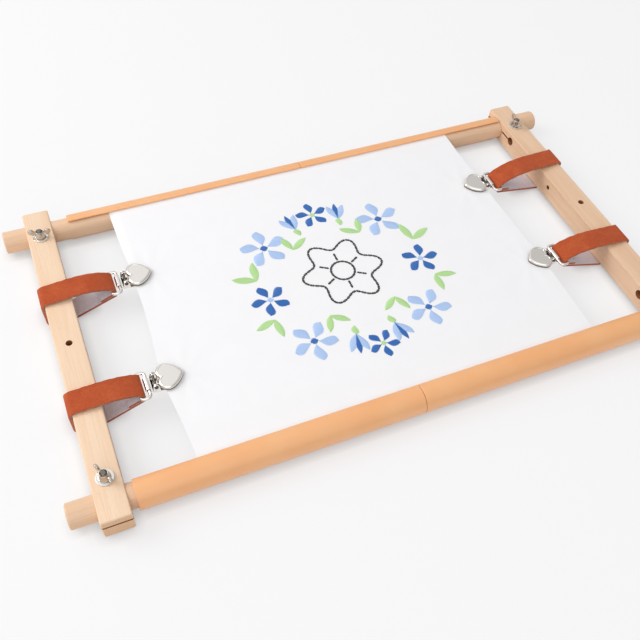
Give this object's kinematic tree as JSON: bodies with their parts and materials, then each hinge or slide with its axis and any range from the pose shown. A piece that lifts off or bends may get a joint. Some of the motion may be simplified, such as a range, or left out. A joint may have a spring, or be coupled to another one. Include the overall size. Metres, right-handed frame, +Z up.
{
  "type": "embroidery frame",
  "caption": "Wooden embroidery frame with slit side rails clamping round dowels, plastic sleeves sprung over the cloth and side strap clips holding a stretched cloth.",
  "frame": {"origin": "middle of the frame's underside, on the surface that it lies on", "axes": "+X along the dowels, +Y from the front dowel to the rear one, +Z up"},
  "size_m": [0.44, 0.25, 0.0275],
  "materials": {
    "rail_wood": "sanded pale beech, clear finish",
    "dowel_wood": "sanded pale beech, paler than the rails",
    "sleeve_plastic": "satin peach plastic",
    "cloth": "plain woven white cotton",
    "clamp_metal": "bright zinc plate",
    "strap_suede": "terracotta suede with a pale plush lining",
    "clip_nickel": "polished nickel plate",
    "jaw_plastic": "natural white nylon"
  },
  "bodies": {
    "frame": {"left_rail": "rail_wood", "clamp_bolt_front_left": "clamp_metal", "clamp_bolt_rear_left": "clamp_metal", "washer_front_left": "clamp_metal", "washer_rear_left": "clamp_metal", "cloth_panel": "cloth"},
    "front_roller": {"front_dowel": "dowel_wood", "front_sleeve_left": "sleeve_plastic", "front_sleeve_right": "sleeve_plastic", "cloth_wrap_front": "cloth"},
    "rear_roller": {"rear_dowel": "dowel_wood", "rear_sleeve_left": "sleeve_plastic", "rear_sleeve_right": "sleeve_plastic", "cloth_wrap_rear": "cloth"},
    "right_side": {"right_rail": "rail_wood", "clamp_bolt_front_right": "clamp_metal", "clamp_bolt_rear_right": "clamp_metal", "washer_front_right": "clamp_metal", "washer_rear_right": "clamp_metal"},
    "nut_front_left": {"wing_nut_front_left": "clamp_metal"},
    "nut_rear_left": {"wing_nut_rear_left": "clamp_metal"},
    "nut_front_right": {"wing_nut_front_right": "clamp_metal"},
    "nut_rear_right": {"wing_nut_rear_right": "clamp_metal"},
    "clip_front_left": {"strap_front_left": "strap_suede", "clip_ring_front_left": "clip_nickel", "clip_base_front_left": "clip_nickel", "clip_pin_front_left": "clip_nickel", "jaw_insert_front_left": "jaw_plastic"},
    "clip_rear_left": {"strap_rear_left": "strap_suede", "clip_ring_rear_left": "clip_nickel", "clip_base_rear_left": "clip_nickel", "clip_pin_rear_left": "clip_nickel", "jaw_insert_rear_left": "jaw_plastic"},
    "clip_front_right": {"strap_front_right": "strap_suede", "clip_ring_front_right": "clip_nickel", "clip_base_front_right": "clip_nickel", "clip_pin_front_right": "clip_nickel", "jaw_insert_front_right": "jaw_plastic"},
    "clip_rear_right": {"strap_rear_right": "strap_suede", "clip_ring_rear_right": "clip_nickel", "clip_base_rear_right": "clip_nickel", "clip_pin_rear_right": "clip_nickel", "jaw_insert_rear_right": "jaw_plastic"},
    "lever_front_left": {"clip_lever_front_left": "clip_nickel"},
    "lever_rear_left": {"clip_lever_rear_left": "clip_nickel"},
    "lever_front_right": {"clip_lever_front_right": "clip_nickel"},
    "lever_rear_right": {"clip_lever_rear_right": "clip_nickel"}
  },
  "joints": [
    {"name": "front_dowel_turn", "type": "hinge", "parent": "frame", "child": "front_roller", "pos_m": [0, -0.11, 0.01085], "axis": [1, 0, 0], "range_deg": [-30, 30]},
    {"name": "rear_dowel_turn", "type": "hinge", "parent": "frame", "child": "rear_roller", "pos_m": [0, 0.11, 0.01085], "axis": [1, 0, 0], "range_deg": [-30, 30]},
    {"name": "right_rail_slide", "type": "slide", "parent": "frame", "child": "right_side", "axis": [1, 0, 0], "range_m": [0, 0.005]},
    {"name": "nut_turn_front_left", "type": "hinge", "parent": "frame", "child": "nut_front_left", "pos_m": [-0.195, -0.0987, 0.024], "axis": [0, 0, 1], "continuous": true},
    {"name": "nut_turn_rear_left", "type": "hinge", "parent": "frame", "child": "nut_rear_left", "pos_m": [-0.195, 0.0987, 0.024], "axis": [0, 0, 1], "continuous": true},
    {"name": "nut_turn_front_right", "type": "hinge", "parent": "right_side", "child": "nut_front_right", "pos_m": [0.195, -0.0987, 0.024], "axis": [0, 0, 1], "continuous": true},
    {"name": "nut_turn_rear_right", "type": "hinge", "parent": "right_side", "child": "nut_rear_right", "pos_m": [0.195, 0.0987, 0.024], "axis": [0, 0, 1], "continuous": true},
    {"name": "strap_slide_front_left", "type": "slide", "parent": "frame", "child": "clip_front_left", "axis": [0, 1, 0], "range_m": [-0.03, 0.03]},
    {"name": "strap_slide_rear_left", "type": "slide", "parent": "frame", "child": "clip_rear_left", "axis": [0, 1, 0], "range_m": [-0.03, 0.015]},
    {"name": "strap_slide_front_right", "type": "slide", "parent": "right_side", "child": "clip_front_right", "axis": [0, 1, 0], "range_m": [-0.03, 0.03]},
    {"name": "strap_slide_rear_right", "type": "slide", "parent": "right_side", "child": "clip_rear_right", "axis": [0, 1, 0], "range_m": [-0.03, 0.02]},
    {"name": "lever_open_front_left", "type": "hinge", "parent": "clip_front_left", "child": "lever_front_left", "pos_m": [-0.1524, -0.0445, 0.01885], "axis": [0, -1, 0], "range_deg": [0, 80]},
    {"name": "lever_open_rear_left", "type": "hinge", "parent": "clip_rear_left", "child": "lever_rear_left", "pos_m": [-0.1494, 0.043, 0.01885], "axis": [0, -1, 0], "range_deg": [0, 80]},
    {"name": "lever_open_front_right", "type": "hinge", "parent": "clip_front_right", "child": "lever_front_right", "pos_m": [0.1417, -0.038, 0.01885], "axis": [0, 1, 0], "range_deg": [0, 80]},
    {"name": "lever_open_rear_right", "type": "hinge", "parent": "clip_rear_right", "child": "lever_rear_right", "pos_m": [0.1361, 0.047, 0.01885], "axis": [0, 1, 0], "range_deg": [0, 80]}
  ],
  "couplings": [
    {"joint": "rear_dowel_turn", "follows": "front_dowel_turn", "ratio": 1}
  ]
}
